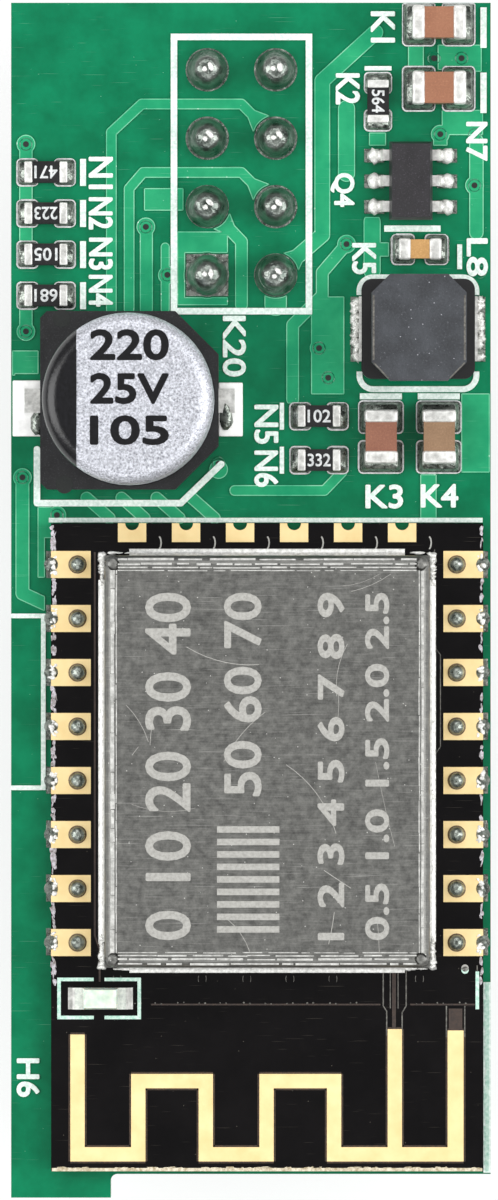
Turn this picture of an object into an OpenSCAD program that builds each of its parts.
// Plug-in radio board: a shielded wifi module with castellated edges, soldered on a small carrier
// board that has its own step-down supply and a two-row pin header on its back.
//
// Frame: +X to the right and +Y towards the header end, seen from the parts side, and +Z out of
// that side. The origin is in the middle of the header, on the face of its insulator that seats
// on the socket. Places on the carrier are given as on a layout drawing: x from its left edge and
// y down from its header end. Places on the module are given from its own upper left corner.

/* [Carrier board] */
// Thickness of the carrier board
carrier_t = 1.6; // [0.8:0.1:2.4]
// Strip of carrier left of the module
left_strip = 1.5; // [1:0.1:3]
// Strip of carrier right of the module
right_strip = 0.3; // [0.3:0.05:2]
// Strip of carrier past the antenna end of the module
end_strip = 0.15; // [0.1:0.05:2]
// Width of the tab left at the lower left corner
tab_w = 3.7; // [2:0.1:8]
// How far the tab stands past the lower edge
tab_l = 0.88; // [0.4:0.02:1.5]
// Radius in the corner beside the tab
tab_fillet = 0.25; // [0.1:0.05:0.35]
// Thickness of a copper layer with its plating
copper_t = 0.05; // [0.03:0.01:0.1]
// Thickness of the printed legend
ink_t = 0.03; // [0.02:0.01:0.05]
// Width of a legend line
ink_w = 0.24; // [0.15:0.01:0.3]

/* [Pin header] */
// Distance between neighbouring pins
pin_pitch = 2.54; // [2:0.02:3]
// Number of pins along the header
pin_rows = 4; // [2:1:6]
// Side of a square pin
pin_side = 0.64; // [0.5:0.02:0.8]
// Length of a pin below the insulator
pin_reach = 6; // [3:0.1:12]
// Height of a pin's tip above the carrier
pin_proud = 1.2; // [0.9:0.1:2.5]
// Height of the insulator
insulator_h = 2.54; // [1.5:0.02:4]
// Chamfer between neighbouring cells of the insulator
cell_chamfer = 0.5; // [0.2:0.05:0.6]
// Middle of the header from the left edge
header_x = 8.55; // [7.5:0.05:9.5]
// Gap between the insulator and the header end of the carrier
header_edge = 1.22; // [0.5:0.02:2]
// Play between a pin's corners and its drill
drill_play = 0.05; // [0.03:0.01:0.15]
// Width of the copper ring round a drill
ring_w = 0.25; // [0.15:0.05:0.4]
// Height of the solder on a header joint
joint_h = 0.85; // [0.4:0.05:1]

/* [Electrolytic capacitor] */
// Diameter of the aluminium can
can_d = 6.3; // [4:0.1:8]
// Height of the capacitor over its lands
can_h = 5.4; // [4:0.1:8]
// Radius of the can's upper rim
can_rim = 0.55; // [0.3:0.05:1]
// Depth of the crimp round the can
can_crimp = 0.25; // [0.1:0.05:0.4]
// How far the base stands out past the can
base_lip = 0.15; // [0.1:0.05:0.4]
// Height of the base
base_h = 1.2; // [0.9:0.1:1.6]
// Cut on the two corners that mark the positive side
base_cut = 1.6; // [1:0.1:1.8]
// Width of a lead strip
strip_w = 0.9; // [0.5:0.1:1.4]
// Thickness of a lead strip
strip_t = 0.2; // [0.15:0.05:0.35]
// How far a lead strip comes out from under the base
strip_out = 0.6; // [0.3:0.05:0.8]

/* [Chip parts] */
// Length of a chip resistor
resistor_l = 1.6; // [1.4:0.05:2]
// Width of a chip resistor
resistor_w = 0.8; // [0.6:0.05:1]
// Height of a chip resistor
resistor_h = 0.45; // [0.35:0.05:0.6]
// Length of a large ceramic capacitor
ceramic_l = 2; // [1.8:0.05:2.3]
// Width of a large ceramic capacitor
ceramic_w = 1.25; // [1:0.05:1.5]
// Height of a large ceramic capacitor
ceramic_h = 1.25; // [0.6:0.05:1.5]
// Length of a resistor's metal ends
resistor_end = 0.3; // [0.2:0.01:0.45]
// Length of a ceramic capacitor's metal ends
ceramic_end = 0.48; // [0.3:0.01:0.55]
// Thickness of the plating on a chip's end
plating_t = 0.05; // [0.03:0.01:0.08]
// Reach of a solder fillet on the land
fillet_l = 0.3; // [0.2:0.01:0.35]

/* [Regulator] */
// Width of the regulator's body
regulator_w = 1.6; // [1.4:0.05:1.8]
// Length of the regulator's body
regulator_l = 2.9; // [2.7:0.05:3.3]
// Height of the regulator over its lands
regulator_h = 1.1; // [0.9:0.05:1.4]
// Distance between the regulator's leads
regulator_pitch = 0.95; // [0.8:0.01:1]

/* [Inductor] */
// Nominal side of the inductor
inductor_w = 4; // [3:0.1:5]
// Height of the inductor over its lands
inductor_h = 3; // [2:0.1:4]
// Thickness of each ferrite flange
flange_t = 0.7; // [0.4:0.05:0.8]
// Diameter of the ferrite post
post_d = 1.6; // [1:0.1:1.8]
// Least wall of the resin coating outside the winding
coating_t = 0.3; // [0.1:0.05:0.5]

/* [Module board] */
// Thickness of the module board
module_t = 0.8; // [0.6:0.05:1.6]
// Distance between the module's pads
pad_pitch = 2; // [1.6:0.05:2.1]
// Width of a side pad
pad_w = 1; // [0.8:0.05:1.2]
// Length of a side pad
pad_l = 1.47; // [1.3:0.01:1.6]
// Gap between the side pads and the shield
pad_gap = 0.53; // [0.4:0.01:1]
// Diameter of the plated half holes and the inner holes
plated_d = 0.6; // [0.4:0.05:0.7]

/* [Antenna] */
// Width of the antenna track
antenna_w = 0.53; // [0.3:0.01:0.7]
// Length of the antenna's outer legs
antenna_l = 4.37; // [3.8:0.01:6]
// Height of the meander's inner loops
loop_l = 2.71; // [2:0.01:3.2]
// Distance between legs joined at their lower ends
leg_low = 2.25; // [1.8:0.05:2.4]
// Distance between legs joined at their upper ends
leg_high = 2.5; // [2:0.05:2.7]

/* [Shield can] */
// Width of the shield can
shield_w = 12; // [11:0.1:14]
// Length of the shield can
shield_l = 15.2; // [13.6:0.1:18]
// Height of the shield can
shield_h = 2.2; // [1.9:0.1:3.5]
// Thickness of the shield's sheet
sheet_t = 0.2; // [0.1:0.05:0.3]
// Outer radius of the shield's bends
bend_r = 0.4; // [0.35:0.05:0.6]
// Diameter of the relief hole where two bends meet
relief_d = 0.44; // [0.3:0.02:0.7]

/* [Parts under the shield] */
// Side of the radio chip
radio_side = 5; // [4:0.1:6]
// Height of the radio chip over the board
radio_h = 0.85; // [0.7:0.05:1.2]
// Length of the memory chip
memory_l = 4.9; // [4.5:0.1:5.5]
// Width of the memory chip's body
memory_w = 3.9; // [3.6:0.1:4.4]
// Height of the memory chip's body
memory_h = 1.45; // [1.2:0.05:1.6]
// Distance between the memory chip's leads
memory_pitch = 1.27; // [1.1:0.01:1.3]
// Width of the crystal
crystal_w = 2.5; // [2:0.1:2.8]
// Length of the crystal
crystal_l = 3.2; // [2.8:0.1:3.6]
// Length of a matching part
matching_l = 1; // [0.8:0.05:1.2]

/* [Hidden] */
$fn = 48;

// Levels, from the header's seat up
carrier_top = insulator_h + carrier_t;
land_top = carrier_top + copper_t;
solder_film = 0.05;
print_h = copper_t + ink_t;
module_z = land_top + solder_film + copper_t;
module_top = module_z + module_t;
module_land = module_top + copper_t;

// Header and its joints
pin_cols = 2;
pin_fit = 0.01;
drill_d = pin_side * sqrt(2) + 2 * drill_play;
ring_d = drill_d + 2 * ring_w;
header_l = pin_rows * pin_pitch;
header_w = pin_cols * pin_pitch;
header_y = header_edge + header_l / 2;
tip_l = 0.5;
rib_h = 0.3;

// Column of four resistors beside the header
resistor_gap = 0.725;
resistor_step = resistor_w + resistor_gap;
column_x = 0.5 + resistor_l / 2;
column_y = header_y;
column_end = column_y + 3 * resistor_step + resistor_w / 2;

// Electrolytic capacitor, under both the resistors and the header
joints_end = header_edge + header_l - pin_pitch / 2 + ring_d / 2;
base_w = can_d + 2 * base_lip;
cap_x = strip_out + 0.5 + base_w / 2;
cap_y = max(column_end, joints_end) + 0.2 + base_w / 2;
cap_end = cap_y + base_w / 2;

// Supply parts in a column along the right edge, from the header end down
part_gap = 0.9;
small_l = 1.6;
small_w = 0.8;
small_h = 0.8;
input_y = 0.15 + ceramic_w / 2;
second_y = input_y + ceramic_w + part_gap + 0.27;
regulator_y = second_y + ceramic_w / 2 + part_gap + 0.46 + regulator_l / 2;
small_y = regulator_y + regulator_l / 2 + part_gap - 0.22 + small_w / 2;
inductor_y = small_y + small_w / 2 + part_gap - 0.34 + inductor_w / 2;
output_y = inductor_y + inductor_w / 2 + part_gap + 0.1 + ceramic_l / 2;
output_end = output_y + ceramic_l / 2;

// Module pads, from its upper left corner
side_pads = 8;
top_pads = 6;
first_pad = 1.53;
hole_inset = 0.98;
barrel_t = 0.04;
land_out = min(left_strip, right_strip) - 0.1;
pads_end = first_pad + (side_pads - 1) * pad_pitch + pad_w / 2;

// Shield can, set in from the module's upper edge
shield_inset = 1.2;
shield_x = pad_l + pad_gap + shield_w / 2;
shield_y = shield_inset + shield_l / 2;
shield_end = shield_inset + shield_l;
bead = 0.25;
corner_slit = 0.04;

// Status light, below the shield's left corner
light_l = 1.6;
light_w = 0.8;
light_x = shield_x - shield_w / 2 - 0.12 - 0.05;
light_y = max(shield_end + bead + 0.55, pads_end + 0.6) + light_w / 2;
light_end = light_y + light_w / 2;

// Antenna: a meander with a fed leg and a grounded leg at its right end
antenna_span = 4 * leg_low + 2 * leg_high;
antenna_x = shield_x + antenna_span / 2 - 0.02;
antenna_start = light_end + 1;
antenna_foot = antenna_start + antenna_l;
antenna_head = antenna_foot - loop_l;

// The module holds the shield between its pads and the antenna past it, and follows the lower
// of the two columns above it
module_w = shield_w + 2 * (pad_l + pad_gap);
module_l = antenna_foot + 0.63;
module_y = max(cap_end + 1.25, output_end + 2.17);
module_x = left_strip;
carrier_w = left_strip + module_w + right_strip;
carrier_l = module_y + module_l + end_strip;
function right(d) = carrier_w - d;

ceramic_x = right(0.93) - ceramic_l / 2;
output_x = right(1.3) - ceramic_w / 2;
output_step = ceramic_w + part_gap;
regulator_x = right(2.97);
small_x = right(2.63);
inductor_x = right(0.7) - inductor_w / 2;
divider_x = output_x - output_step - ceramic_w / 2 - 0.87 - resistor_l / 2;
divider_y = output_y - 0.77;
divider_step = resistor_w + 0.83;
feedback_x = ceramic_x - ceramic_l / 2 - part_gap + 0.05 - resistor_w / 2;

// Chips: [x, y, turned] for each resistor, [x, y, turned, length, width, height] for each ceramic
RESISTORS = concat(
    [for (i = [0 : 3]) [column_x, column_y + i * resistor_step, false]],
    [for (i = [0 : 1]) [divider_x, divider_y + i * divider_step, false]],
    [[feedback_x, second_y + 0.48, true]]
);
CERAMICS = [
    [ceramic_x, input_y, false, ceramic_l, ceramic_w, ceramic_h],
    [ceramic_x, second_y, false, ceramic_l, ceramic_w, ceramic_h],
    [output_x - output_step, output_y, true, ceramic_l, ceramic_w, ceramic_h],
    [output_x, output_y, true, ceramic_l, ceramic_w, ceramic_h],
    [small_x, small_y, false, small_l, small_w, small_h]
];

// Regulator and its leads
regulator_leads_n = 3;
lead_w = 0.4;
lead_t = 0.13;
lead_reach = 0.62;
body_lift = 0.06;
draft_run = 0.09;

// Inductor
terminal_t = 0.1;
lower_flange = [inductor_w + 0.2, inductor_w - 0.3];
flange_round = 0.4;
upper_flange = [inductor_w - 0.5, inductor_w - 0.07];
flange_cut = inductor_w * 0.17;
coating_w = inductor_w - 0.6;
clip_l = inductor_w * 0.6;
winding_d = coating_w - 2 * coating_t;

// Parts under the shield: a row of memory, radio and matching parts with even gaps between them
inner_l = shield_l - 2 * sheet_t;
inner_top = shield_inset + sheet_t;
gull_l = 1;
memory_span = memory_w + 2 * gull_l;
contact_out = 0.05;
radio_span = radio_side + 2 * contact_out;
row_gap = (inner_l - memory_span - radio_span - matching_l) / 4;
memory_u = shield_x;
memory_v = inner_top + row_gap + memory_span / 2;
radio_u = shield_x - shield_w / 2 + sheet_t + 0.9 + radio_span / 2;
radio_v = memory_v + memory_span / 2 + row_gap + radio_span / 2;
matching_v = radio_v + radio_span / 2 + row_gap + matching_l / 2;
matching_w = matching_l / 2;
crystal_u = radio_u + radio_span / 2 + 0.8 + crystal_w / 2;
crystal_v = radio_v + (radio_span - crystal_l) / 2;

// ---------------------------------------------------------------- helpers

// Puts children at a place on the carrier's layout
module on_carrier(x, y, z = carrier_top) {
    translate([x - header_x, header_y - y, z]) children();
}

// Puts children at a place on the module's layout
module on_module(u, v, z = module_top) {
    on_carrier(module_x + u, module_y + v, z) children();
}

// Turns children a quarter when a part stands across the board
module turned(yes) {
    rotate([0, 0, yes ? 90 : 0]) children();
}

// Repeats children on the left and right of the middle, mirrored
module both_ends() {
    for (side = [0, 1])
        mirror([side, 0, 0]) children();
}

// Block that stands on z = 0 with its middle on the Z axis
module slab(x, y, z) {
    translate([-x / 2, -y / 2, 0]) cube([x, y, z]);
}

// Rectangle with its corners cut off: c = lower left, lower right, upper right, upper left
module cut_rectangle(w, l, c) {
    x = w / 2;
    y = l / 2;
    polygon([
        [-x + c[0], -y], [x - c[1], -y], [x, -y + c[1]], [x, y - c[2]],
        [x - c[2], y], [-x + c[3], y], [-x, y - c[3]], [-x, -y + c[0]]
    ]);
}

// Rectangle with rounded corners
module rounded_rectangle(w, l, r) {
    square([w - 2 * r, l], center = true);
    square([w, l - 2 * r], center = true);
    for (x = [-1, 1], y = [-1, 1])
        translate([x * (w / 2 - r), y * (l / 2 - r)]) circle(r = r);
}

// Outline of a frame line: a rectangle less its own inside
module frame_outline(w, l, line) {
    difference() {
        square([w, l], center = true);
        square([w - 2 * line, l - 2 * line], center = true);
    }
}

// Moulded body with drafted sides and an upright band where its leads come out
module moulded_body(w, l, h, band_z, band_h, draft) {
    module side(width, depth) {
        x = width / 2;
        rotate([90, 0, 0])
            linear_extrude(height = depth, center = true)
                polygon([
                    [-x + draft, 0], [x - draft, 0], [x, band_z], [x, band_z + band_h],
                    [x - draft, h], [-x + draft, h], [-x, band_z + band_h], [-x, band_z]
                ]);
    }
    intersection() {
        side(w, l);
        rotate([0, 0, 90]) side(l, w);
    }
}

// Gull-wing lead that leaves a body at x = 0 and stands on z = 0
module gull_wing(reach, rise, thick, wide) {
    knee = reach * 0.25;
    ankle = reach * 0.42;
    rotate([90, 0, 0])
        linear_extrude(height = wide, center = true)
            polygon([
                [0, rise], [knee, rise], [ankle, 0], [reach, 0],
                [reach, thick], [ankle + thick * 0.7, thick],
                [knee + thick * 0.7, rise + thick], [0, rise + thick]
            ]);
}

// Hollow solder fillet against a wall at x = 0
module fillet(wide, r = fillet_l) {
    rotate([90, 0, 0])
        linear_extrude(height = wide, center = true)
            difference() {
                square(r);
                translate([r, r]) circle(r = r * 0.92);
            }
}

// Five-sided metal cup on the right end of a chip
module chip_cup(l, w, h) {
    difference() {
        translate([l / 2 - ceramic_end, -w / 2, 0]) cube([ceramic_end, w, h]);
        translate([0, -w / 2 + plating_t, plating_t])
            cube([l / 2 - plating_t, w - 2 * plating_t, h - 2 * plating_t]);
    }
}

// Metal clip round the right end of a chip, open at its sides
module chip_clip(l, w, h) {
    difference() {
        translate([l / 2 - resistor_end, -w / 2, 0]) cube([resistor_end, w, h]);
        translate([0, -w, plating_t])
            cube([l / 2 - plating_t, 2 * w, h - 2 * plating_t]);
    }
}

// Straight bar between two places of the carrier's layout
module bar(a, b, wide, high) {
    on_carrier(a[0], a[1])
        rotate([0, 0, atan2(a[1] - b[1], b[0] - a[0])])
            translate([0, -wide / 2, 0])
                cube([norm(b - a), wide, high]);
}

// Track with round ends and corners through a list of places
module track(places, wide = 0.44) {
    for (i = [1 : len(places) - 1])
        bar(places[i - 1], places[i], wide, copper_t);
    for (p = places)
        on_carrier(p[0], p[1]) cylinder(d = wide, h = copper_t);
}

// Rectangular field between two corners of the carrier's layout
module field(x0, y0, x1, y1, high = copper_t) {
    on_carrier(x0, y1) cube([x1 - x0, y1 - y0, high]);
}

function pin_x(col) = header_x + (col - (pin_cols - 1) / 2) * pin_pitch;
function pin_y(row) = header_edge + (row + 0.5) * pin_pitch;
function pad_v(i) = first_pad + i * pad_pitch;
function top_pad_u(i) = module_w / 2 + (i - (top_pads - 1) / 2) * pad_pitch;

// Repeats children at every pin, at height z
module each_pin(z) {
    for (col = [0 : pin_cols - 1], row = [0 : pin_rows - 1])
        on_carrier(pin_x(col), pin_y(row), z) children();
}

// Repeats children at the edge of every side pad, with +X pointing off the module
module each_side_pad(z = module_top) {
    for (i = [0 : side_pads - 1]) {
        on_module(module_w, pad_v(i), z) children();
        on_module(0, pad_v(i), z) rotate([0, 0, 180]) children();
    }
}

// Repeats children at the edge of every top pad, with +X pointing off the module
module each_top_pad(z = module_top) {
    for (i = [0 : top_pads - 1])
        on_module(top_pad_u(i), 0, z) rotate([0, 0, 90]) children();
}

// ---------------------------------------------------------------- carrier

module carrier_board() {
    color("mediumseagreen")
        difference() {
            union() {
                on_carrier(0, carrier_l, insulator_h)
                    cube([carrier_w, carrier_l, carrier_t]);
                on_carrier(0, carrier_l + tab_l, insulator_h)
                    cube([tab_w, tab_l, carrier_t]);
                on_carrier(tab_w, carrier_l, insulator_h)
                    linear_extrude(height = carrier_t)
                        difference() {
                            translate([0, -tab_fillet]) square(tab_fillet);
                            translate([tab_fillet, -tab_fillet]) circle(r = tab_fillet);
                        }
            }
            each_pin(insulator_h - 1) cylinder(d = drill_d, h = carrier_t + 2);
        }
}

// Solderable copper on the carrier: rings, chip lands and the module's lands
module carrier_lands() {
    color("gold") {
        each_pin(carrier_top)
            difference() {
                cylinder(d = ring_d + 0.1, h = copper_t);
                translate([0, 0, -1]) cylinder(d = drill_d, h = 3);
            }
        first_pin_land();
        each_pin(insulator_h - copper_t)
            difference() {
                cylinder(d = ring_d + 0.1, h = copper_t);
                translate([0, 0, -1]) cylinder(d = drill_d, h = 3);
            }
        chip_lands();
        regulator_lands();
        inductor_lands();
        capacitor_lands();
        each_side_pad(carrier_top)
            translate([-pad_l, -pad_w / 2, 0]) cube([pad_l + land_out, pad_w, copper_t]);
    }
}

// Square corner fields that turn the last left pin's ring into a square land
module first_pin_land() {
    side = ring_d + 0.05;
    on_carrier(pin_x(0), pin_y(pin_rows - 1))
        difference() {
            slab(side, side, copper_t);
            translate([0, 0, -1]) cylinder(d = ring_d + 0.1, h = 3);
        }
}

module chip_lands() {
    for (r = RESISTORS)
        on_carrier(r[0], r[1]) turned(r[2]) both_ends()
            land(resistor_l, resistor_w, resistor_end);
    for (c = CERAMICS)
        on_carrier(c[0], c[1]) turned(c[2]) both_ends()
            land(c[3], c[4], ceramic_end);
}

// Land under the right end of a chip, with room for the fillet
module land(l, w, under) {
    translate([l / 2 - under, -w / 2 - 0.03, 0])
        cube([under + fillet_l, w + 0.06, copper_t]);
}

module regulator_lands() {
    on_carrier(regulator_x, regulator_y) both_ends()
        each_regulator_lead()
            translate([lead_reach * 0.3, -lead_w / 2 - 0.05, 0])
                cube([lead_reach * 0.7 + fillet_l, lead_w + 0.1, copper_t]);
}

module each_regulator_lead() {
    for (i = [0 : regulator_leads_n - 1])
        translate([regulator_w / 2, (i - (regulator_leads_n - 1) / 2) * regulator_pitch, 0])
            children();
}

module inductor_lands() {
    on_carrier(inductor_x, inductor_y) both_ends()
        translate([lower_flange[0] / 2 - 0.9, -clip_l / 2, 0])
            cube([0.9 + terminal_t + fillet_l, clip_l, copper_t]);
}

module capacitor_lands() {
    on_carrier(cap_x, cap_y) both_ends()
        translate([base_w / 2 - 1.6, -strip_w / 2 - 0.85, 0])
            cube([1.6 + strip_out + 0.3, strip_w + 1, copper_t]);
}

// Tracks and fields of copper under the green mask
module carrier_tracks() {
    color("limegreen")
        difference() {
            union() {
                signal_tracks();
                supply_tracks();
                teardrop(1, 1, 135);
                teardrop(1, 2, 135);
                teardrop(0, 2, -45);
                teardrop(1, 3, 41);
                copper_fields();
                via_rings();
            }
            copper_keepout();
        }
}

// Widening of a track where it reaches a pin's ring
module teardrop(column, row, way) {
    taper_l = 1.3;
    on_carrier(pin_x(column), pin_y(row))
        rotate([0, 0, way])
            linear_extrude(height = copper_t)
                polygon([[0, ring_d / 2], [taper_l, 0.17], [taper_l, -0.17], [0, -ring_d / 2]]);
}

// Tracks from the header to the module's side of the board
module signal_tracks() {
    upper = cap_y - base_w / 2 - 0.1;
    bend = column_x + resistor_l / 2 + 1.62;
    row1 = pin_y(0) + pin_pitch / 2;
    row2 = row1 + pin_pitch;
    track([[pin_x(1), pin_y(1)], [header_x, row1], [header_x - 3.7, row1],
           [bend, row1 + 1.05], [bend, upper]], 0.36);
    track([[pin_x(1), pin_y(2)], [header_x, row2], [header_x - 3.65, row2],
           [bend + 0.66, row2 + 0.6], [bend + 0.66, upper]], 0.36);
    track([[bend + 1.3, pin_y(2) + 0.75], [bend + 1.3, upper]], 0.45);
    track([[bend + 2, pin_y(2) + 1.5], [bend + 2, upper]], 0.3);
    track([[pin_x(0), pin_y(2)], [pin_x(0) + 0.65, pin_y(2) + 0.65],
           [header_x, pin_y(2) + 1.3], [header_x, pin_y(3) + 1.1]]);
    track([[0.55, column_y - 1.05], [0.55, column_y + 2.7]], 0.46);
    track([[0.55, column_end - 0.4], [0.55, column_end + 0.93]], 0.46);
    track([[0.42, cap_y + 2.85], [0.42, module_y + 2.6], [left_strip, module_y + 3.1]], 0.48);
    for (i = [0 : 3])
        track([[left_strip + 1.3 + i * 1.3, module_y - 0.95],
               [left_strip + 2.15 + i * 1.3, module_y - 0.2]], 0.42);
    track([[cap_x + 3.9, module_y - 1.22], [divider_x + 0.2, module_y - 1.22],
           [divider_x + 0.85, module_y - 1.9]], 0.36);
}

// Tracks of the step-down supply
module supply_tracks() {
    x5 = header_x + 3;
    track([[feedback_x - 0.1, 1.1], [x5, 2.9], [x5, pin_y(2) + 1.05],
           [pin_x(1), pin_y(3)]], 0.55);
    track([[right(5.35), regulator_y - 2.7], [right(5.35), regulator_y - 0.3]], 0.6);
    track([[right(5.35), small_y - 0.2], [x5, small_y + 0.85], [x5, small_y + 1.7],
           [x5 - 1.1, small_y + 2.8], [x5 - 1.1, inductor_y + 2.6]], 0.44);
    track([[right(4.4), regulator_y + 1.5], [right(4.4), small_y + 0.8]], 0.6);
    track([[right(4.4), small_y], [small_x, small_y]], 0.5);
    track([[right(0.53), regulator_y - 1.5], [right(0.53), regulator_y + 1.9]], 0.5);
    track([[right(1.87), regulator_y - 1.75], [right(1.87), regulator_y - 0.95]], 0.5);
    track([[pin_x(1), pin_y(3)], [pin_x(1), pin_y(3) + 1.1]], 0.8);
}

module copper_fields() {
    field(right(1.95), input_y + 0.8, right(0.35), second_y - 0.65);
    field(right(3.05), input_y + 0.8, right(2.5), second_y - 0.65);
    field(right(1.8), second_y + 0.8, right(0.3), second_y + 1.7);
    field(right(4.5), second_y + 1.6, right(3.9), regulator_y - 1.15);
    field(header_x - 3.6, pin_y(2) - 0.67, pin_x(0) - 0.9, pin_y(2) + 0.13);
    field(pin_x(0) - 1.1, pin_y(3) - 1.6, pin_x(0) + 0.75, pin_y(3) + 1.1);
    field(0.05, cap_y - 1.85, 1, cap_y - 0.95);
    field(divider_x - 0.28, inductor_y - 1.2, inductor_x - 2.75, inductor_y + 2.4);
    field(output_x + 0.85, output_y - 1.6, right(0.05), output_y + 1.3);
    field(output_x - 0.67, output_y + 1.4, output_x - 0.1, module_y - 0.2);
    field(left_strip - 0.5, module_y - 0.6, left_strip, module_y + 2);
}

// Rings of the holes that join the two copper layers
module via_rings() {
    for (p = [
        [0.55, column_y - 1.05], [0.55, column_end + 0.93], [0.42, cap_y + 2.85],
        [column_x + 3.7, pin_y(2) + 0.75], [column_x + 4.5, pin_y(3)],
        [right(1.08), second_y - 1.13], [right(1.87), regulator_y - 1.75],
        [right(0.6), regulator_y + 0.15], [right(5.35), small_y - 0.2],
        [divider_x, inductor_y + 0.7], [divider_x + 0.34, inductor_y + 1.8],
        [cap_x + 3.3, module_y - 2], [left_strip + 0.2, module_y - 0.3]
    ])
        on_carrier(p[0], p[1]) cylinder(d = 0.66, h = copper_t);
}

// Room that the mask leaves round bare lands, and the space under the module
module copper_keepout() {
    room = 0.06;
    below = 0.5;
    each_pin(carrier_top - below)
        cylinder(d = ring_d + 0.1 + 2 * room, h = 2 * below);
    on_carrier(pin_x(0), pin_y(pin_rows - 1), carrier_top - below)
        slab(ring_d + 0.05 + 2 * room, ring_d + 0.05 + 2 * room, 2 * below);
    for (c = concat(
        [for (r = RESISTORS) [r[0], r[1], r[2], resistor_l, resistor_w]],
        [for (c = CERAMICS) [c[0], c[1], c[2], c[3], c[4]]],
        [[inductor_x, inductor_y, false, lower_flange[0] + 2 * terminal_t, clip_l],
         [cap_x, cap_y, false, base_w + 2 * strip_out, strip_w + 0.94],
         [regulator_x, regulator_y, false, regulator_w + 2 * lead_reach, regulator_l - 0.4]]
    ))
        on_carrier(c[0], c[1], carrier_top - below) turned(c[2])
            slab(c[3] + 2 * fillet_l + 2 * room, c[4] + 0.06 + 2 * room, 2 * below);
    on_module(0, module_l, carrier_top - below)
        translate([-land_out - room, 0, 0])
            cube([module_w + 2 * land_out + 2 * room, module_l - first_pad + pad_w, 2 * below]);
}

// Printed lines on the carrier, laid over the tracks and cut back from the bare lands and
// from the foot of the electrolytic capacitor
module carrier_legend() {
    color("honeydew")
        difference() {
            union() {
                on_carrier(header_x, header_y + 0.06)
                    linear_extrude(height = print_h)
                        frame_outline(header_w + 0.17, header_l + 0.26, ink_w);
                capacitor_bracket();
                inductor_bracket();
                value_bars();
                module_corner();
            }
            carrier_tracks();
            carrier_lands();
            on_carrier(cap_x, cap_y) linear_extrude(height = 2 * print_h) base_outline();
        }
}

// Bars that mark the ends of the chips and the regulator's first lead
module value_bars() {
    for (i = [0 : 3])
        field(column_x + resistor_l / 2 + 0.46, column_y + i * resistor_step - 0.5,
              column_x + resistor_l / 2 + 0.68, column_y + i * resistor_step + 0.5, print_h);
    for (i = [0 : 1])
        field(divider_x - 1.46, divider_y + i * divider_step - 0.5,
              divider_x - 1.3, divider_y + i * divider_step + 0.5, print_h);
    field(feedback_x - 0.5, second_y - 0.84, feedback_x + 0.5, second_y - 0.68, print_h);
    for (y = [input_y, second_y])
        field(right(0.38), y - 0.6, right(0.15), y + 0.9, print_h);
    for (x = [output_x, output_x - output_step])
        field(x - 0.78, output_y - 1.62, x + 0.78, output_y - 1.4, print_h);
    field(right(3.95), regulator_y + 1.64, right(1.86), regulator_y + 1.87, print_h);
    field(small_x + 1.39, small_y - 0.19, small_x + 1.57, small_y + 0.73, print_h);
}

// Corner line round the lower part of the electrolytic capacitor
module capacitor_bracket() {
    x0 = cap_x - base_w / 2 - ink_w / 2 - 0.02;
    y1 = cap_end + 0.5;
    low = [x0, y1];
    corner = [cap_x + base_w / 2 - base_cut + 0.2, y1];
    far = [corner[0] + 1.5, y1 - 1.45];
    for (run = [[[x0, cap_y + 1.8], low], [low, corner], [corner, far]]) {
        bar(run[0], run[1], ink_w, print_h);
        for (p = run)
            on_carrier(p[0], p[1]) cylinder(d = ink_w, h = print_h);
    }
}

// Outline of the inductor, broken at its terminals
module inductor_bracket() {
    w = lower_flange[0] + 0.14;
    l = lower_flange[1] + 0.45;
    line = ink_w * 0.9;
    on_carrier(inductor_x, inductor_y + 0.15)
        linear_extrude(height = print_h)
            difference() {
                rounded_rectangle(w + line, l + line, flange_round + line);
                rounded_rectangle(w - line, l - line, flange_round);
                square([2 * w, clip_l + 0.44], center = true);
            }
}

// Line along the module's upper edge and the frame on its left
module module_corner() {
    line = 0.17;
    edge = module_y - 0.12;
    frame_x = left_strip - land_out - 0.02;
    frame_y = module_y + 3.35;
    frame_l = 6.55;
    field(left_strip - 0.1, edge - line / 2, module_x + module_w, edge + line / 2, print_h);
    field(0, frame_y, frame_x, frame_y + line, print_h);
    field(frame_x - line, frame_y, frame_x, frame_y + frame_l, print_h);
    field(0, frame_y + frame_l - line, frame_x, frame_y + frame_l, print_h);
    field(right(right_strip - 0.03), module_y + pad_v(side_pads - 1) + 1.5,
          carrier_w, carrier_l - 0.05, print_h);
}

// ---------------------------------------------------------------- pin header

// Row of eight-sided cells with a rib on its back that keeps it off the copper rings
module header_insulator() {
    rib_w = pin_pitch - ring_d - 0.24;
    color("#1c1d1f")
        difference() {
            union() {
                for (row = [0 : pin_rows - 1])
                    on_carrier(header_x, pin_y(row), 0)
                        linear_extrude(height = insulator_h - rib_h)
                            cut_rectangle(header_w, pin_pitch,
                                          [for (i = [0 : 3]) cell_chamfer]);
                on_carrier(header_x, header_y, insulator_h - rib_h)
                    slab(rib_w, header_l - pin_pitch, rib_h);
            }
            each_pin(-1)
                slab(pin_side + 2 * pin_fit, pin_side + 2 * pin_fit, insulator_h + 2);
        }
}

// One pin with both ends tapered on four sides
module pin() {
    bottom = -pin_reach;
    top = carrier_top + pin_proud;
    h = pin_side / 2;
    tip = pin_side / 4;
    module side() {
        rotate([90, 0, 0])
            linear_extrude(height = pin_side, center = true)
                polygon([
                    [-tip, bottom], [tip, bottom], [h, bottom + tip_l], [h, top - tip_l / 2],
                    [tip, top], [-tip, top], [-h, top - tip_l / 2], [-h, bottom + tip_l]
                ]);
    }
    intersection() {
        side();
        rotate([0, 0, 90]) side();
    }
}

module header_pins() {
    color("goldenrod") each_pin(0) pin();
}

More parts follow.
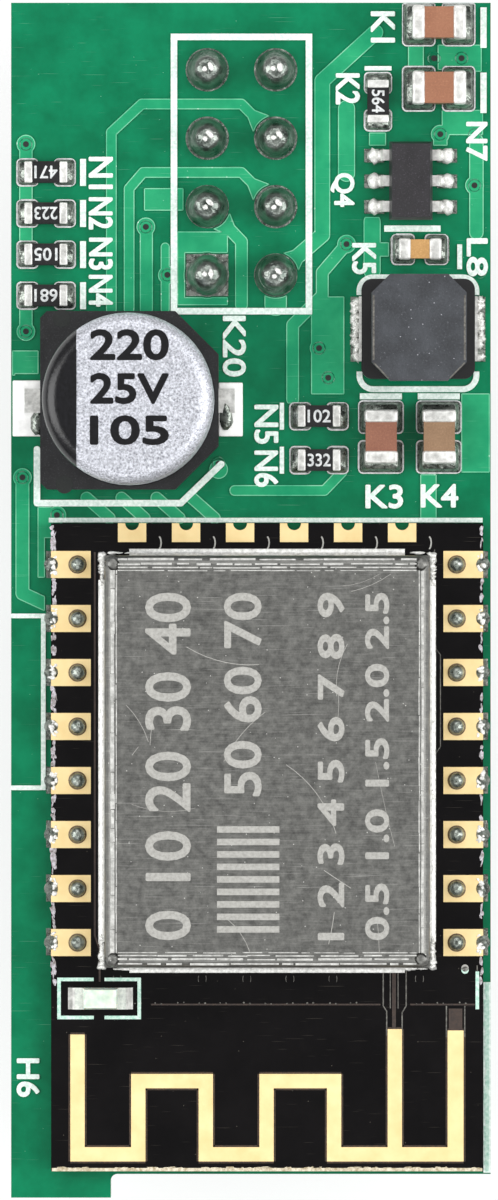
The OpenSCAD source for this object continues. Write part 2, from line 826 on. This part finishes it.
// Solder that fills each drill round its pin and stands as a dome on the ring
module header_solder() {
    r = ring_d / 2;
    ball = (r * r + joint_h * joint_h) / (2 * joint_h);
    color("silver")
        each_pin(0)
            difference() {
                union() {
                    translate([0, 0, insulator_h])
                        cylinder(d = drill_d, h = carrier_t + copper_t);
                    translate([0, 0, land_top])
                        rotate_extrude()
                            intersection() {
                                translate([0, joint_h - ball]) circle(r = ball);
                                square([r, joint_h]);
                            }
                }
                translate([0, 0, -pin_reach - 1])
                    slab(pin_side, pin_side, pin_reach + carrier_top + pin_proud - tip_l / 2 + 1);
                pin();
            }
}

// ---------------------------------------------------------------- electrolytic capacitor

base_floor = 0.5;
strip_play = 0.03;

// Foot of the electrolytic capacitor, cut off at its two positive corners
module base_outline() {
    small_cut = 0.25;
    cut_rectangle(base_w, base_w, [small_cut, base_cut, base_cut, small_cut]);
}

module capacitor_base() {
    color("#202224")
        on_carrier(cap_x, cap_y, land_top)
            difference() {
                linear_extrude(height = base_h) base_outline();
                translate([0, 0, base_floor])
                    cylinder(d = can_d + 2 * strip_play, h = base_h);
                both_ends()
                    translate([0.5, -strip_w / 2 - strip_play, -1])
                        cube([base_w, strip_w + 2 * strip_play, strip_t + strip_play + 1]);
            }
}

module capacitor_can() {
    r = can_d / 2;
    h = can_h - base_floor - ink_t;
    groove = base_h + 0.25;
    color("#c9ccd0")
        on_carrier(cap_x, cap_y, land_top + base_floor)
            rotate_extrude($fn = 96)
                difference() {
                    union() {
                        square([r, h - can_rim]);
                        square([r - can_rim, h]);
                        intersection() {
                            translate([r - can_rim, h - can_rim]) circle(r = can_rim);
                            square([r, h]);
                        }
                    }
                    translate([r + can_crimp, groove]) circle(r = 2 * can_crimp);
                }
}

// Printed segment over the negative side of the can's lid
module capacitor_mark() {
    lid_r = can_d / 2 - can_rim;
    color("#26282b")
        on_carrier(cap_x, cap_y, land_top + can_h - ink_t)
            linear_extrude(height = ink_t)
                intersection() {
                    circle(r = lid_r);
                    translate([-lid_r - can_d * 0.3, -lid_r]) square([lid_r, 2 * lid_r]);
                }
}

module capacitor_leads() {
    color("silver")
        on_carrier(cap_x, cap_y, land_top) both_ends()
            translate([0.6, -strip_w / 2, 0])
                cube([base_w / 2 - 0.6 + strip_out, strip_w, strip_t]);
}

// ---------------------------------------------------------------- inductor

flange_z = land_top + terminal_t;
gap_z = flange_z + flange_t;
upper_z = land_top + inductor_h - flange_t;

// Drum core: two ferrite flanges on one post
module inductor_core() {
    color("#4b5560") {
        on_carrier(inductor_x, inductor_y, flange_z)
            linear_extrude(height = flange_t)
                rounded_rectangle(lower_flange[0], lower_flange[1], flange_round);
        on_carrier(inductor_x, inductor_y, gap_z)
            cylinder(d = post_d, h = upper_z - gap_z);
        on_carrier(inductor_x, inductor_y, upper_z)
            linear_extrude(height = flange_t)
                cut_rectangle(upper_flange[0], upper_flange[1],
                              [for (i = [0 : 3]) flange_cut]);
    }
}

module inductor_winding() {
    color("sienna")
        on_carrier(inductor_x, inductor_y, gap_z)
            difference() {
                cylinder(d = winding_d, h = upper_z - gap_z);
                translate([0, 0, -1]) cylinder(d = post_d, h = upper_z - gap_z + 2);
            }
}

// Magnetic resin that fills the drum round the winding
module inductor_coating() {
    color("#6a7078")
        on_carrier(inductor_x, inductor_y, gap_z)
            difference() {
                linear_extrude(height = upper_z - gap_z)
                    cut_rectangle(coating_w, coating_w, [for (i = [0 : 3]) flange_cut]);
                translate([0, 0, -1]) cylinder(d = winding_d, h = upper_z - gap_z + 2);
            }
}

// Metal clips under the lower flange and up its sides
module inductor_terminals() {
    color("silver")
        on_carrier(inductor_x, inductor_y, land_top) both_ends() {
            translate([lower_flange[0] / 2 - 0.9, -clip_l / 2, 0])
                cube([0.9, clip_l, terminal_t]);
            translate([lower_flange[0] / 2, -clip_l / 2, 0])
                cube([terminal_t, clip_l, terminal_t + flange_t]);
        }
}

// ---------------------------------------------------------------- regulator and chips

module regulator_body() {
    color("#2b2d2f")
        on_carrier(regulator_x, regulator_y, land_top + body_lift)
            moulded_body(regulator_w, regulator_l, regulator_h - body_lift,
                         regulator_h * 0.45 - body_lift, lead_t, draft_run);
}

module regulator_leads() {
    color("silver")
        on_carrier(regulator_x, regulator_y, land_top) both_ends()
            each_regulator_lead() gull_wing(lead_reach, regulator_h * 0.45, lead_t, lead_w);
}

module resistor_body(i) {
    r = RESISTORS[i];
    film = 0.03;
    color("#1e2023")
        on_carrier(r[0], r[1], land_top + plating_t) turned(r[2]) {
            slab(resistor_l - 2 * plating_t, resistor_w, resistor_h - 2 * plating_t);
            translate([0, 0, resistor_h - 2 * plating_t])
                slab(resistor_l - 2 * resistor_end - 0.04, resistor_w - 0.06, film);
        }
}

module resistor_ends(i) {
    r = RESISTORS[i];
    color("silver")
        on_carrier(r[0], r[1], land_top) turned(r[2]) both_ends()
            chip_clip(resistor_l, resistor_w, resistor_h);
}

// Ceramic block between and inside its two metal cups
module ceramic_body(i) {
    c = CERAMICS[i];
    color("#a88463")
        on_carrier(c[0], c[1], land_top + plating_t) turned(c[2])
            slab(c[3] - 2 * plating_t, c[4] - 2 * plating_t, c[5] - 2 * plating_t);
}

module ceramic_ends(i) {
    c = CERAMICS[i];
    color("silver")
        on_carrier(c[0], c[1], land_top) turned(c[2]) both_ends()
            chip_cup(c[3], c[4], c[5]);
}

// Solder fillets at the ends of every part on the carrier
module chip_solder() {
    color("lightgray") {
        for (r = RESISTORS)
            on_carrier(r[0], r[1], land_top) turned(r[2]) both_ends()
                translate([resistor_l / 2, 0, 0]) fillet(resistor_w);
        for (c = CERAMICS)
            on_carrier(c[0], c[1], land_top) turned(c[2]) both_ends()
                translate([c[3] / 2, 0, 0]) fillet(c[4]);
        on_carrier(regulator_x, regulator_y, land_top) both_ends()
            each_regulator_lead() translate([lead_reach, 0, 0]) fillet(lead_w, lead_t);
        on_carrier(inductor_x, inductor_y, land_top) both_ends()
            translate([lower_flange[0] / 2 + terminal_t, 0, 0]) fillet(clip_l);
        on_carrier(cap_x, cap_y, land_top) both_ends() {
            translate([base_w / 2 + strip_out, 0, 0]) fillet(strip_w, strip_t);
            for (side = [90, -90])
                rotate([0, 0, side])
                    translate([strip_w / 2, -sign(side) * (base_w + strip_out) / 2, 0])
                        fillet(strip_out - 0.02, strip_t);
        }
    }
}

// ---------------------------------------------------------------- module board

module module_board() {
    color("#2c2e2b")
        difference() {
            on_module(0, module_l, module_z) cube([module_w, module_l, module_t]);
            each_side_pad(module_z - 1) {
                cylinder(d = plated_d, h = module_t + 2);
                translate([-hole_inset, 0, 0]) cylinder(d = plated_d, h = module_t + 2);
            }
            each_top_pad(module_z - 1) cylinder(d = plated_d, h = module_t + 2);
        }
}

// Plated wall of a hole, between its two lands
module barrel() {
    translate([0, 0, -copper_t])
        cylinder(d = plated_d, h = module_t + 2 * copper_t);
}

module bore() {
    translate([0, 0, -copper_t - 1])
        cylinder(d = plated_d - 2 * barrel_t, h = module_t + 2 * copper_t + 2);
}

// Castellated pads: a land above and below, joined through the half hole
module module_pads() {
    top_l = 0.7;
    top_w = pad_w + 0.05;
    color("#e8d9a0") {
        each_side_pad(module_z)
            difference() {
                union() {
                    for (z = [-copper_t, module_t])
                        translate([-pad_l, -pad_w / 2, z]) cube([pad_l, pad_w, copper_t]);
                    intersection() {
                        barrel();
                        translate([-plated_d, -plated_d, -1]) cube([plated_d, 2 * plated_d, 4]);
                    }
                    translate([-hole_inset, 0, 0]) barrel();
                }
                bore();
                translate([-hole_inset, 0, 0]) bore();
            }
        each_top_pad(module_z)
            difference() {
                union() {
                    for (z = [-copper_t, module_t])
                        translate([-top_l, -top_w / 2, z]) cube([top_l, top_w, copper_t]);
                    intersection() {
                        barrel();
                        translate([-plated_d, -plated_d, -1]) cube([plated_d, 2 * plated_d, 4]);
                    }
                }
                bore();
            }
    }
}

// Solder that ties each half hole to its land on the carrier
module edge_solder() {
    inner = plated_d / 2 - barrel_t;
    rise = solder_film + copper_t + module_t * 0.85;
    color("lightgray")
        each_side_pad(land_top) {
            translate([-pad_l, -pad_w / 2, 0]) cube([pad_l, pad_w, solder_film]);
            difference() {
                union() {
                    translate([0, 0, solder_film]) cylinder(r = inner, h = rise - solder_film);
                    cylinder(r1 = land_out, r2 = inner * 0.7, h = rise);
                }
                translate([-1 - inner, -1, -1]) cube([1 + inner - inner * 0.5, 2, 1 + solder_film]);
                difference() {
                    translate([-1, -1, solder_film]) cube([1, 2, rise]);
                    cylinder(r = inner, h = 2 * rise);
                }
            }
        }
}

// Solder that stands as a bead in each inner hole
module pad_solder() {
    inner = plated_d / 2 - barrel_t;
    depth = module_t + 2 * copper_t;
    bead_r = inner + 0.04;
    color("lightgray")
        each_side_pad(module_z - copper_t)
            translate([-hole_inset, 0, 0]) {
                cylinder(r = inner, h = depth);
                translate([0, 0, depth])
                    rotate_extrude()
                        intersection() {
                            circle(r = bead_r);
                            square(bead_r);
                        }
            }
}

// Meander of bare plated copper at the end of the module
module antenna_track() {
    w = antenna_w;
    ground_grow = 0.03;
    first = antenna_x - antenna_span;
    legs = [
        first,
        first + leg_low,
        first + leg_low + leg_high,
        first + 2 * leg_low + leg_high,
        first + 2 * leg_low + 2 * leg_high,
        first + 3 * leg_low + 2 * leg_high
    ];
    tops = [antenna_start + 0.2, antenna_head, antenna_head, antenna_head, antenna_head,
            antenna_start];
    color("#f3dfa6") {
        for (i = [0 : 5])
            strip(legs[i], tops[i], legs[i], antenna_foot, w);
        strip(antenna_x, antenna_start + 0.08, antenna_x, antenna_foot - ground_grow, w + 2 * ground_grow);
        for (i = [0, 2, 4])
            strip(legs[i], antenna_foot, legs[i + 1], antenna_foot, w);
        for (i = [1, 3])
            strip(legs[i], antenna_head, legs[i + 1], antenna_head, w);
        strip(legs[5], antenna_foot, antenna_x, antenna_foot, w);
    }
}

// Upright or level strip of copper on the module, grown by half its width at each end
module strip(u0, v0, u1, v1, w) {
    on_module(u0 - w / 2, v1 + w / 2)
        cube([u1 - u0 + w, v1 - v0 + w, copper_t]);
}

// Printed lines on the module: the status light's frame and a locating dot
module module_legend() {
    line = 0.13;
    color("honeydew") {
        on_module(light_x - 0.05, light_y)
            linear_extrude(height = ink_t)
                difference() {
                    frame_outline(light_l + 1.5, light_w + 0.74, line);
                    square([0.4, 4], center = true);
                }
        on_module(module_w - 0.67, shield_end + 0.15) cylinder(d = 0.27, h = ink_t);
        on_module(module_w - 0.28, shield_end + 1.6) cube([line, 1.4, ink_t]);
    }
}

// ---------------------------------------------------------------- shield can

// Folded sheet cover: four bent walls round one flat top. The bends stop short of the corners,
// where a relief hole keeps them apart, and below them the walls meet at a slit.
module shield_can() {
    top_w = shield_w - 2 * bend_r;
    top_l = shield_l - 2 * bend_r;
    color("#6d7074")
        on_module(shield_x, shield_y)
            difference() {
                union() {
                    translate([0, 0, shield_h - sheet_t]) slab(top_w, top_l, sheet_t);
                    both_ends()
                        translate([top_w / 2, 0, 0])
                            bent_wall(top_l, shield_l - 2 * sheet_t - 2 * corner_slit);
                    rotate([0, 0, 90]) both_ends()
                        translate([top_l / 2, 0, 0]) bent_wall(top_w, shield_w);
                }
                for (x = [-1, 1], y = [-1, 1])
                    translate([x * (top_w / 2 + 0.05), y * (top_l / 2 + 0.05),
                               shield_h - bend_r])
                        cylinder(d = relief_d, h = 2 * bend_r);
            }
}

// Quarter bend that leaves a flat edge at x = 0, and the wall below it
module bent_wall(bend_along, wall_along) {
    rotate([90, 0, 0]) {
        linear_extrude(height = bend_along, center = true)
            translate([0, shield_h - bend_r])
                intersection() {
                    difference() {
                        circle(r = bend_r);
                        circle(r = bend_r - sheet_t);
                    }
                    square(bend_r);
                }
        linear_extrude(height = wall_along, center = true)
            translate([bend_r - sheet_t, 0]) square([sheet_t, shield_h - bend_r]);
    }
}

// Bead of solder along the foot of each wall
module shield_solder() {
    side_l = shield_l - 2 * bend_r - 1;
    side_w = shield_w - 2 * bend_r - 1;
    color("lightgray")
        on_module(shield_x, shield_y) {
            both_ends() translate([shield_w / 2, 0, 0]) fillet(side_l, bead);
            rotate([0, 0, 90])
                both_ends() translate([shield_l / 2, 0, 0]) fillet(side_w, bead);
        }
}

// ---------------------------------------------------------------- parts under the shield

module radio_chip() {
    color("#232527")
        on_module(radio_u, radio_v, module_land)
            slab(radio_side, radio_side, radio_h - copper_t);
}

// Contacts round the radio chip's edge and the pad under its middle
module radio_chip_contacts() {
    per_side = 8;
    pitch = radio_side / 10;
    contact_l = pitch;
    color("gold")
        on_module(radio_u, radio_v) {
            slab(radio_side * 0.68, radio_side * 0.68, copper_t);
            for (turn = [0 : 90 : 270])
                rotate([0, 0, turn])
                    for (i = [0 : per_side - 1])
                        translate([radio_side / 2 + contact_out - contact_l / 2,
                                   (i - (per_side - 1) / 2) * pitch, 0])
                            slab(contact_l, pitch / 2, copper_t);
        }
}

module memory_chip() {
    color("#232527")
        on_module(memory_u, memory_v, module_top + 0.1)
            moulded_body(memory_l, memory_w, memory_h, 0.55, 0.2, 0.15);
}

module memory_chip_leads() {
    color("silver")
        on_module(memory_u, memory_v)
            for (side = [90, -90])
                rotate([0, 0, side])
                    for (i = [0 : 3])
                        translate([memory_w / 2, (i - 1.5) * memory_pitch, 0])
                            gull_wing(gull_l, 0.65, 0.2, memory_pitch / 3);
}

// Ceramic tray with its metal lid
module crystal() {
    crystal_h = 0.65;
    color("#b9bcc0")
        on_module(crystal_u, crystal_v) {
            slab(crystal_w, crystal_l, crystal_h * 0.7);
            translate([0, 0, crystal_h * 0.7])
                slab(crystal_w - 0.4, crystal_l - 0.4, crystal_h * 0.3);
        }
}

// Small chips that match the antenna and smooth the radio's supply
module matching_parts() {
    step = matching_w + 0.85;
    color("#b08a68") {
        for (i = [0 : 5])
            on_module(shield_x + (i - 2.5) * step, matching_v)
                slab(matching_w, matching_l, matching_w);
        for (i = [0 : 1])
            on_module(crystal_u + (i - 0.5) * step,
                      crystal_v - (crystal_l + matching_l) / 2 - 0.3)
                slab(matching_w, matching_l, matching_w);
    }
}

// ---------------------------------------------------------------- status light

module led_base() {
    color("#e9e7dc")
        on_module(light_x, light_y, module_land)
            slab(light_l + 0.3, light_w, 0.2);
}

module led_lens() {
    color("#d9efdf")
        on_module(light_x, light_y, module_land + 0.2)
            moulded_body(light_l - 0.3, light_w, 0.4, 0.02, 0.1, 0.06);
}

// Lands and metal ends of the status light
module led_ends() {
    color("gold")
        on_module(light_x, light_y) both_ends() {
            translate([light_l / 2 - 0.25, -light_w / 2, 0]) cube([0.65, light_w, copper_t]);
            translate([light_l / 2 + 0.15, -light_w / 2, copper_t])
                cube([0.08, light_w, 0.22]);
        }
}

carrier_board();
carrier_tracks();
carrier_lands();
carrier_legend();
header_insulator();
header_pins();
header_solder();
capacitor_base();
capacitor_can();
capacitor_mark();
capacitor_leads();
inductor_core();
inductor_winding();
inductor_coating();
inductor_terminals();
regulator_body();
regulator_leads();
ceramic_body(0);  // ceramic_1_body
ceramic_ends(0);  // ceramic_1_ends
ceramic_body(1);  // ceramic_2_body
ceramic_ends(1);  // ceramic_2_ends
ceramic_body(2);  // ceramic_3_body
ceramic_ends(2);  // ceramic_3_ends
ceramic_body(3);  // ceramic_4_body
ceramic_ends(3);  // ceramic_4_ends
ceramic_body(4);  // ceramic_5_body
ceramic_ends(4);  // ceramic_5_ends
resistor_body(0);  // resistor_1_body
resistor_ends(0);  // resistor_1_ends
resistor_body(1);  // resistor_2_body
resistor_ends(1);  // resistor_2_ends
resistor_body(2);  // resistor_3_body
resistor_ends(2);  // resistor_3_ends
resistor_body(3);  // resistor_4_body
resistor_ends(3);  // resistor_4_ends
resistor_body(4);  // resistor_5_body
resistor_ends(4);  // resistor_5_ends
resistor_body(5);  // resistor_6_body
resistor_ends(5);  // resistor_6_ends
resistor_body(6);  // resistor_7_body
resistor_ends(6);  // resistor_7_ends
chip_solder();
module_board();
module_pads();
module_legend();
antenna_track();
edge_solder();
pad_solder();
shield_can();
shield_solder();
radio_chip();
radio_chip_contacts();
memory_chip();
memory_chip_leads();
crystal();
matching_parts();
led_base();
led_lens();
led_ends();
